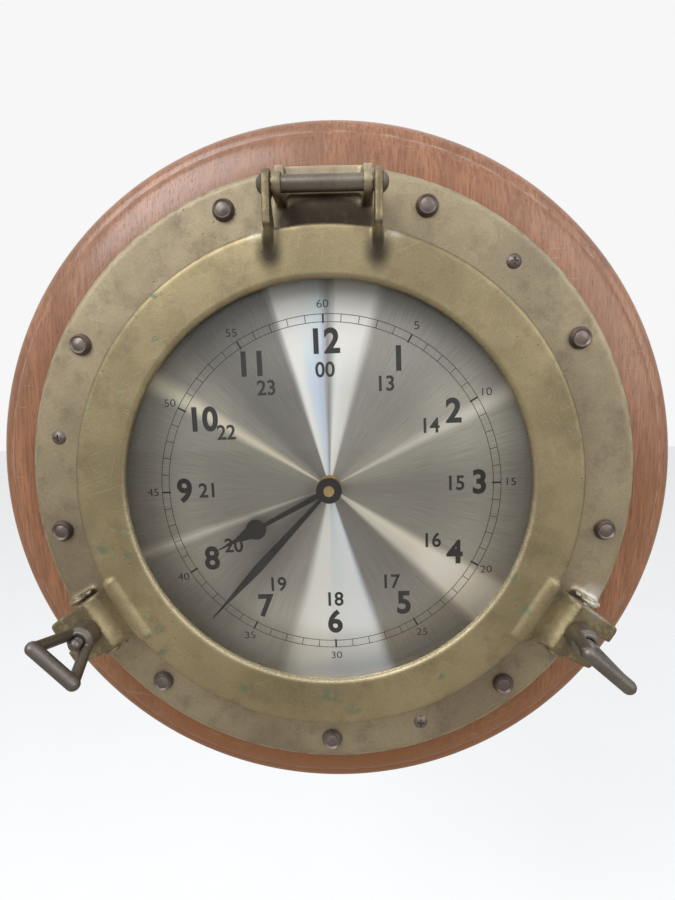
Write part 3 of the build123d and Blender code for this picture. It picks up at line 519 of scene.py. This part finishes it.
# Patches of verdigris on its face: the turn clockwise in degrees, the radius and the half width in mm
SASH_FACE = 57.8
patches = 0.0
for turn, radius, size in ((230, 108.8, 5.0), (226, 117, 4.5), (180, 104, 8.0), (174, 112, 6.0),
                           (255, 114, 5.0), (252, 103, 4.0), (116, 99, 4.5), (122, 112, 5.0),
                           (150, 108, 4.0), (203, 110, 4.0), (312, 105, 3.0)):
    at = (radius * math.sin(math.radians(turn)), -SASH_FACE, radius * math.cos(math.radians(turn)) - DROP)
    patches = sums(tree, "MAXIMUM", near(tree, place, at, (size, 6, 0.7 * size), 0.2), patches)
patches = sums(tree, "MULTIPLY", patches, fade(tree, smudge, 0.4, 0.56))
green = blend(tree, smudge, (0.04, 0.09, 0.06, 1), (0.26, 0.36, 0.26, 1))
tone = blend(tree, sums(tree, "MULTIPLY", patches, 0.8), tone, green)
ear_shade_and_tarnish, lug_highlight_and_wear = 0.0, 0.0
for hand in (-1, 1):
    lug_highlight_and_wear = sums(tree, "MAXIMUM", near(tree, place, on_lug(hand, -14, 0, 56), (15, 11, 15), 0.25), lug_highlight_and_wear)
    ear_shade_and_tarnish = sums(tree, "MAXIMUM", near(tree, place, (hand * 24.0, -60, -17), (8.5, 14, 12), 0.25), ear_shade_and_tarnish)
# Painted highlight, with wear from handling: each lug is made paler.
tone = blend(tree, sums(tree, "MULTIPLY", lug_highlight_and_wear, 0.55), tone, (0.52, 0.43, 0.25, 1))
# Painted shade and tarnish: a dark smear under each ear.
tone = blend(tree, sums(tree, "MULTIPLY", ear_shade_and_tarnish, 0.9), tone, (0.05, 0.042, 0.032, 1))
# Painted shadow under the hinge pin, and white deposits.
tone = hinge_dirt(tree, place, where.outputs["Radius"], tone, smudge)
tree.links.new(tone, shader.inputs["Base Color"])
dress(sash, sash_brass)
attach(sash, "sash")
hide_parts("sash_ring")

# ---------------------------------------------------------------- glass, its retaining ring and the gasket
# A thick polished pane bedded in the sash from behind, a notched brass ring that holds it, and a black
# rubber ring in a groove that closes on the flange.
glass, tree, shader, place = finish_material("port_glass", Roughness=0.01, IOR=1.5, Transmission_Weight=1.0,
                                              Specular_IOR_Level=0.12)
dust = mottle(tree, place, (700.0, 700.0, 700.0), 6.0, 0.7)
film = mottle(tree, place, (30.0, 30.0, 30.0), 4.0, 0.6)
tree.links.new(fade(tree, sums(tree, "ADD", film, dust), 0.95, 1.35, 0.0, 0.035), shader.inputs["Roughness"])
shader.inputs["Base Color"].default_value = (0.985, 0.98, 0.96, 1)
path = put(tree, "ShaderNodeLightPath")
see_through = put(tree, "ShaderNodeBsdfTransparent", {0: (0.95, 0.945, 0.93, 1)})
either = put(tree, "ShaderNodeMixShader", {0: sums(tree, "MAXIMUM", path.outputs["Is Shadow Ray"],
                                                   path.outputs["Is Diffuse Ray"])})
tree.links.new(shader.outputs[0], either.inputs[1])
tree.links.new(see_through.outputs[0], either.inputs[2])
tree.links.new(either.outputs[0], tree.nodes["Material Output"].inputs["Surface"])
dress(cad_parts["glass_pane"], glass)
turned_brass = drawn_metal("turned_brass", (0.72, 0.54, 0.26), (0.5, 0.36, 0.17), (60.0, 60.0, 60.0), 0.25)
dress(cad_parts["glass_retaining_ring"], turned_brass)

rubber_look, given, out = new_group(
    "moulded_skin",
    [("Position", "Vector", None), ("Light", "Color", (0.05, 0.05, 0.05, 1)),
     ("Dark", "Color", (0.02, 0.02, 0.02, 1)), ("Grain", "Float", 1400.0), ("Sheen", "Float", 0.5)],
    [("Colour", "Color"), ("Roughness", "Float"), ("Height", "Float")])
fine = put(rubber_look, "ShaderNodeTexNoise", {"Vector": given["Position"], "Scale": given["Grain"],
                                               "Detail": 2.0}).outputs[0]
cloud = mottle(rubber_look, given["Position"], (90.0, 90.0, 90.0), 4.0, 0.6)
tone = blend(rubber_look, fade(rubber_look, cloud, 0.35, 0.68), given["Dark"], given["Light"])
tone = blend(rubber_look, fade(rubber_look, fine, 0.45, 0.75, 0.0, 0.3), tone, given["Light"])
rubber_look.links.new(tone, out["Colour"])
rubber_look.links.new(sums(rubber_look, "MULTIPLY_ADD", cloud, 0.2, given["Sheen"]), out["Roughness"])
rubber_look.links.new(fine, out["Height"])


def moulded(name, light, dark, grain=1400.0, sheen=0.4, bump=0.15, **sockets):
    """A moulded or painted skin with a fine grain."""
    made, tree, shader, place = finish_material(name, **sockets)
    look = put(tree, "ShaderNodeGroup", {"Position": place, "Light": light + (1,), "Dark": dark + (1,),
                                         "Grain": grain, "Sheen": sheen}, node_tree=rubber_look)
    lay_on(tree, shader, look, bump, 0.0001)
    return made


rubber = moulded("black_rubber", (0.05, 0.05, 0.048), (0.018, 0.018, 0.018), 1600.0, 0.6)
dress(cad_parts["sash_gasket"], rubber)
dress(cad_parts["rubber_washer"], rubber)

# ---------------------------------------------------------------- clamps
# A swing bolt stands on its pivot pin between each pair of bracket ears and comes up through a lug's slot.
# Its round nut is forged in one with the bent loop that it is turned by. All are dark, handled bronze.
clamp_bronze = old_brass("clamp_bronze", (0.25, 0.222, 0.195), (0.165, 0.145, 0.13), (0.09, 0.079, 0.072),
                         0.0, 0.04, 0.32, 0.9, 0.5)[0]
PITCH, THREAD_DEPTH, THREAD_CORE = 1.25, 0.5, 2.4
THREAD_START, THREAD_END = 51.0, 69.3
for side in ("left", "right"):
    nut = as_cast("loop_nut_" + side, "forged_loop_nut_" + side, 0.35, 8)
    dress(nut, clamp_bronze)
    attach(nut, side + "_nut")
    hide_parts("loop_nut_" + side)
    hand = -1 if side == "left" else 1
    bolt = as_cast("swing_bolt_" + side, "threaded_bolt_" + side, 0.22, 1)
    axis_x, _, axis_z = on_lug(hand, 0, 0, 0)
    for point in bolt.data.vertices:
        out_x, height, out_z = point.co.x / MM - axis_x, -point.co.y / MM, point.co.z / MM - axis_z
        reach = math.hypot(out_x, out_z)
        if THREAD_START < height < THREAD_END and reach > THREAD_CORE:
            phase = (height / PITCH + math.atan2(out_z, out_x) / (2 * math.pi)) % 1.0
            share = 1.0 - THREAD_DEPTH * abs(2 * phase - 1) / reach
            point.co.x = (axis_x + out_x * share) * MM
            point.co.z = (axis_z + out_z * share) * MM
    dress(bolt, clamp_bronze)
    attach(bolt, "clock")
    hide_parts("swing_bolt_" + side)
    dress(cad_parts["bolt_pivot_" + side], flange_brass)

# ---------------------------------------------------------------- dial
# A thin steel disc, brushed outwards from the centre, lacquered and printed in black. The bright and dark
# fans that the brushing throws are painted reflections, laid into its colour. The flange holds it by its rim.
# Its twelve stands a degree and a half left of the top.
dial_steel, tree, shader, place = finish_material("brushed_dial", Metallic=0.75, Anisotropic=0.6,
                                                  Coat_Weight=0.1, Coat_Roughness=0.12)
where = put(tree, "ShaderNodeGroup", {"Position": place, "Drop": DIAL_DROP}, node_tree=clock_place)
from_below = sums(tree, "FRACT", sums(tree, "ADD", where.outputs["Turn"], 0.5))
reflection_ramp = put(tree, "ShaderNodeValToRGB", {0: from_below})
# Painted reflections of the brushing's fans: the turn clockwise from the top in degrees, then red, green and
# blue
painted_fan_reflections = [(-180, .62, .64, .67), (-172, .62, .64, .66), (-163, .34, .335, .33), (-135, .26, .255, .25),
             (-112, .30, .295, .285), (-110, .46, .455, .44), (-107, .30, .295, .285), (-80, .31, .305, .295),
             (-63, .34, .335, .32), (-58.5, .62, .60, .54), (-53, .36, .35, .335), (-40, .26, .255, .25),
             (-18, .29, .285, .285), (-14.5, .75, .77, .80), (-8, .62, .68, .80), (-3, .56, .61, .70),
             (0, .36, .37, .38), (4, .70, .72, .74), (12, .66, .67, .68), (17, .36, .355, .35),
             (40, .34, .335, .325), (57, .40, .39, .375), (62, .56, .55, .53), (66, .38, .375, .36),
             (90, .30, .295, .285), (118, .32, .315, .305), (124, .60, .59, .56), (130, .56, .55, .53),
             (136, .26, .255, .25), (160, .27, .268, .268), (165, .60, .65, .74), (178, .56, .60, .66)]
MIDDLE, CONTRAST = 0.42, 1.6
ramp = reflection_ramp.color_ramp
ramp.interpolation = "EASE"
while len(ramp.elements) < len(painted_fan_reflections):
    ramp.elements.new(0.5)
for stop, (turn, *colour) in zip(ramp.elements, painted_fan_reflections):
    stop.position = (turn + 180) / 360
    stop.color = [MIDDLE * gain * (tone / MIDDLE) ** CONTRAST
                  for tone, gain in zip(colour, (1.27, 1.26, 1.22))] + [1]
round_place = put(tree, "ShaderNodeCombineXYZ", {0: sums(tree, "MULTIPLY", where.outputs["Turn"], 900.0),
                                                 1: sums(tree, "MULTIPLY", where.outputs["Radius"], 0.05)})
brushing = put(tree, "ShaderNodeTexNoise", {"Vector": round_place.outputs[0], "Scale": 1.0, "Detail": 6.0,
                                            "Roughness": 0.75}).outputs[0]
upright = put(tree, "ShaderNodeSeparateXYZ", {0: place}).outputs[2]
# Painted light and shade: the dial is brighter towards its rim, darker at the top and brighter at the bottom.
light_and_shade_gain = sums(tree, "MULTIPLY", fade(tree, where.outputs["Radius"], 48.0, 94.0, 0.92, 1.4),
                 fade(tree, upright, -0.21, -0.04, 1.22, 0.72))
tone = blend(tree, 1.0, reflection_ramp.outputs[0], grey(tree, light_and_shade_gain), "MULTIPLY")
tone = blend(tree, 0.65, tone, grey(tree, brushing), "OVERLAY")
tree.links.new(tone, shader.inputs["Base Color"])
tree.links.new(sums(tree, "MULTIPLY_ADD", brushing, 0.2, 0.3), shader.inputs["Roughness"])
relief = put(tree, "ShaderNodeBump", {"Strength": 0.12, "Distance": 0.0001, "Height": brushing})
tree.links.new(relief.outputs[0], shader.inputs["Normal"])
dress(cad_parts["dial_plate"], dial_steel)

# The print: a minute track with a heavy mark at each fifth, three rings of numbers, and nothing else. It
# stands at a height of INK from the wall, and a film of ink reaches FILM either way, in mm.
INK, FILM = 28.93, 0.02
ink = moulded("dial_ink", (0.014, 0.014, 0.015), (0.006, 0.006, 0.007), 2500.0, 0.45,
              Specular_IOR_Level=0.15)


def dial_point(turn, radius):
    """A point of the dial, at a turn clockwise in degrees and a radius in mm, as X and Z in metres."""
    angle = math.radians(turn - ROLL)
    return radius * math.sin(angle) * MM, (radius * math.cos(angle) - DIAL_DROP) * MM


def joined(name, parts):
    """Joins a list of pieces into one."""
    bpy.ops.object.select_all(action="DESELECT")
    for part in parts:
        part.select_set(True)
    bpy.context.view_layer.objects.active = parts[0]
    bpy.ops.object.join()
    parts[0].name = name
    return parts[0]


marks = []
for radius, width in ((88.3, 0.32), (84.4, 0.32)):
    inside = radius - width
    marks.append(turned("track", [(inside, INK - FILM), (radius, INK - FILM), (radius, INK + FILM),
                                  (inside, INK + FILM), (inside, INK - FILM)], 240, (0.0, DIAL_DROP)))
for minute in range(60):
    heavy = minute % 5 == 0
    low, high, width = (83.6, 88.3, 0.9) if heavy else (84.4, 88.3, 0.34)
    x, z = dial_point(minute * 6, (low + high) / 2)
    bpy.ops.object.select_all(action="DESELECT")
    bpy.ops.mesh.primitive_cube_add(size=1, location=(x, -INK * MM, z),
                                    rotation=(0, math.radians(minute * 6 - ROLL), 0))
    mark = bpy.context.object
    mark.scale = (width * MM, 0.05 * MM, (high - low) * MM)
    bpy.ops.object.transform_apply(location=True, rotation=True, scale=True)
    marks.append(mark)
track = joined("minute_track", marks)
dress(track, ink)
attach(track, "clock")


def printed(name, words, size, weight, wide=1.0):
    """Numbers printed upright round the dial: each is its text, its turn and its radius."""
    pieces = []
    for text, turn, radius in words:
        x, z = dial_point(turn, radius)
        bpy.ops.object.select_all(action="DESELECT")
        bpy.ops.object.text_add(location=(x, -(INK - FILM) * MM, z),
                                rotation=(math.pi / 2, math.radians(-ROLL), 0))
        letter = bpy.context.object
        letter.data.body = text
        letter.data.align_x, letter.data.align_y = "CENTER", "CENTER"
        letter.data.size = size * MM
        letter.data.offset = weight * MM
        letter.data.extrude = FILM * MM
        letter.data.resolution_u = 8
        letter.scale = (wide, 1, 1)
        bpy.ops.object.convert(target="MESH")
        bpy.ops.object.transform_apply(location=True, rotation=True, scale=True)
        pieces.append(bpy.context.object)
    whole = joined(name, pieces)
    dress(whole, ink)
    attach(whole, "clock")


# The numbers at the sides stand a little further out, by so many mm
outward = {3: 3.0, 9: 2.0, 15: 4.5, 21: 3.5, 18: 1.0}
hours = [(str(hour), 30 * hour, 74.2 + outward.get(hour, 0)) for hour in range(1, 13)]
later_hours = [(f"{hour % 24:02d}", 30 * hour, 60.3 + outward.get(hour, 0)) for hour in range(13, 25)]
printed("hour_numerals", hours, 17.0, 0.55, 0.95)
printed("day_numerals", later_hours, 10.6, 0.2, 0.95)
printed("minute_numerals", [(str(minute), 6 * minute, 92.9) for minute in range(5, 65, 5)], 5.6, -0.02, 1.15)

# ---------------------------------------------------------------- hands and what holds them
# Stamped hands painted satin black: the hour hand has a round bulb and a spear tip, the minute hand is a
# long slim leaf. They press on the two tubes of the movement, and a small brass nut closes the stack.
hand_paint = moulded("hand_paint", (0.012, 0.012, 0.013), (0.005, 0.005, 0.006), 1800.0, 0.45,
                      Specular_IOR_Level=0.15)
for node in ("hour_hand", "minute_hand"):
    dress(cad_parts[node], hand_paint)
for node in ("centre_bush", "dial_washer", "movement_nut", "hand_nut", "minute_tube"):
    dress(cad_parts[node], turned_brass)

# ---------------------------------------------------------------- movement
# A small battery movement: a two-part black plastic case that snaps together, white nylon wheels on fine
# pivots, a stepping motor with its coil and iron stator, a circuit board, and one AA cell on two springs.
case_plastic = moulded("case_plastic", (0.055, 0.055, 0.058), (0.028, 0.028, 0.03), 1500.0, 0.42, 0.3)
nylon = moulded("white_nylon", (0.78, 0.77, 0.72), (0.66, 0.65, 0.6), 900.0, 0.3)
for node in ("movement_case", "movement_cover"):
    dress(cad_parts[node], case_plastic)
for node in ("hour_wheel", "motion_wheel", "centre_wheel", "third_wheel", "second_wheel", "reduction_wheel",
             "rotor"):
    dress(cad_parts[node], nylon)
red_knob = moulded("red_knob", (0.55, 0.05, 0.035), (0.42, 0.03, 0.025), 1200.0, 0.35)
dress(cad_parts["setting_knob"], red_knob)
cell_profile = [(0.001, -24.3), (5.6, -24.3), (6.3, -24.0), (7.0, -23.6), (7.05, -23.0), (7.05, 23.0),
                (7.0, 23.4), (6.4, 23.5), (6.2, 23.3), (2.9, 23.3), (2.8, 24.5), (2.5, 24.6), (0.001, 24.6)]
cell = turned("aa_cell", cell_profile, 96, (0, 0), 40)
low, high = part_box("battery")
cell.matrix_world = (Matrix.Translation([(low[k] + high[k]) / 2 for k in range(3)])
                     @ Matrix.Rotation(math.radians(-ROLL), 4, "Y") @ Matrix.Rotation(math.pi / 2, 4, "Z"))
tidy_mesh(cell, 40)
sleeve, tree, shader, place = finish_material("battery_sleeve", Metallic=0.55)
look = put(tree, "ShaderNodeGroup", {"Position": place, "Light": (0.045, 0.05, 0.055, 1),
                                     "Dark": (0.03, 0.033, 0.036, 1), "Grain": 500.0, "Sheen": 0.22},
           node_tree=rubber_look)
lay_on(tree, shader, look, 0.1, 0.0001)
along = put(tree, "ShaderNodeSeparateXYZ", {0: place}).outputs[0]
tone = blend(tree, fade(tree, along, 0.0105, 0.0108), look.outputs["Colour"], (0.50, 0.30, 0.13, 1))
bare_ends = sums(tree, "GREATER_THAN", sums(tree, "ABSOLUTE", along), 0.0233)
tree.links.new(blend(tree, bare_ends, tone, (0.62, 0.61, 0.58, 1)), shader.inputs["Base Color"])
dress(cell, sleeve)
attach(cell, "clock")
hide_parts("battery")
nickel = drawn_metal("nickel_strip", (0.74, 0.73, 0.7), (0.56, 0.55, 0.52))
dress(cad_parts["battery_contacts"], nickel)
soft_iron = drawn_metal("soft_iron", (0.5, 0.5, 0.49), (0.36, 0.36, 0.35))
dress(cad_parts["stator"], soft_iron)
copper = drawn_metal("copper_wire", (0.72, 0.31, 0.14), (0.42, 0.15, 0.06), (400.0, 400.0, 9000.0))
dress(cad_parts["coil"], copper)
laminate = moulded("green_laminate", (0.05, 0.2, 0.09), (0.03, 0.13, 0.06), 1100.0, 0.3)
dress(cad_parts["circuit_board"], laminate)

# ---------------------------------------------------------------- studio
# A plain pale floor well below the clock, a pale surround, two large soft lights and the camera.
bpy.ops.object.select_all(action="DESELECT")
bpy.ops.mesh.primitive_plane_add(size=12, location=(0, 0, -0.95))
floor = bpy.context.object
floor.name = "pale_floor"
paint, tree, shader, place = finish_material("pale_paint", Roughness=0.9)
shade = blend(tree, mottle(tree, place, (6.0, 6.0, 6.0)), (0.92, 0.92, 0.92, 1), (0.95, 0.95, 0.95, 1))
seen = put(tree, "ShaderNodeLightPath").outputs["Is Camera Ray"]
tree.links.new(blend(tree, seen, (0.40, 0.37, 0.33, 1), shade), shader.inputs["Base Color"])
dress(floor, paint)
world = bpy.data.worlds.new("pale_room")
bpy.context.scene.world = world
world.use_nodes = True
room = world.node_tree
facing = put(room, "ShaderNodeTexCoord").outputs["Generated"]
facing = put(room, "ShaderNodeSeparateXYZ", {0: facing}).outputs[2]
glow = blend(room, fade(room, facing, -0.9, 0.1), (0.22, 0.17, 0.11, 1), (0.60, 0.60, 0.59, 1))
glow = blend(room, fade(room, facing, 0.1, 0.95), glow, (0.96, 0.97, 0.99, 1))
seen = put(room, "ShaderNodeLightPath").outputs["Is Camera Ray"]
room.links.new(blend(room, seen, glow, (0.93, 0.93, 0.93, 1)), room.nodes["Background"].inputs[0])
for name, spot, power, size in (("soft_left", (-0.9, -1.5, 1.1), 22.0, 1.2),
                                ("soft_right", (1.3, -1.3, 0.5), 9.0, 1.4)):
    lamp = bpy.data.lights.new(name, "AREA")
    lamp.energy, lamp.size, lamp.shape = power, size, "DISK"
    holder = bpy.data.objects.new(name, lamp)
    bpy.context.scene.collection.objects.link(holder)
    holder.location = spot
    holder.rotation_euler = (Vector((0, 0, -0.125)) - Vector(spot)).to_track_quat("-Z", "Y").to_euler()

lens = bpy.data.cameras.new("camera")
lens.lens, lens.sensor_width, lens.clip_start = 22.0, 36.0, 0.01
camera = bpy.data.objects.new("camera", lens)
bpy.context.scene.collection.objects.link(camera)
camera.matrix_world = Matrix(((0.99938, 0.00707, 0.03446, 0.0140), (0.03312, 0.14055, -0.98952, -0.3110),
                              (-0.01183, 0.99005, 0.14023, -0.0703), (0, 0, 0, 1)))
bpy.context.scene.camera = camera
bpy.context.scene.view_settings.view_transform = "Standard"
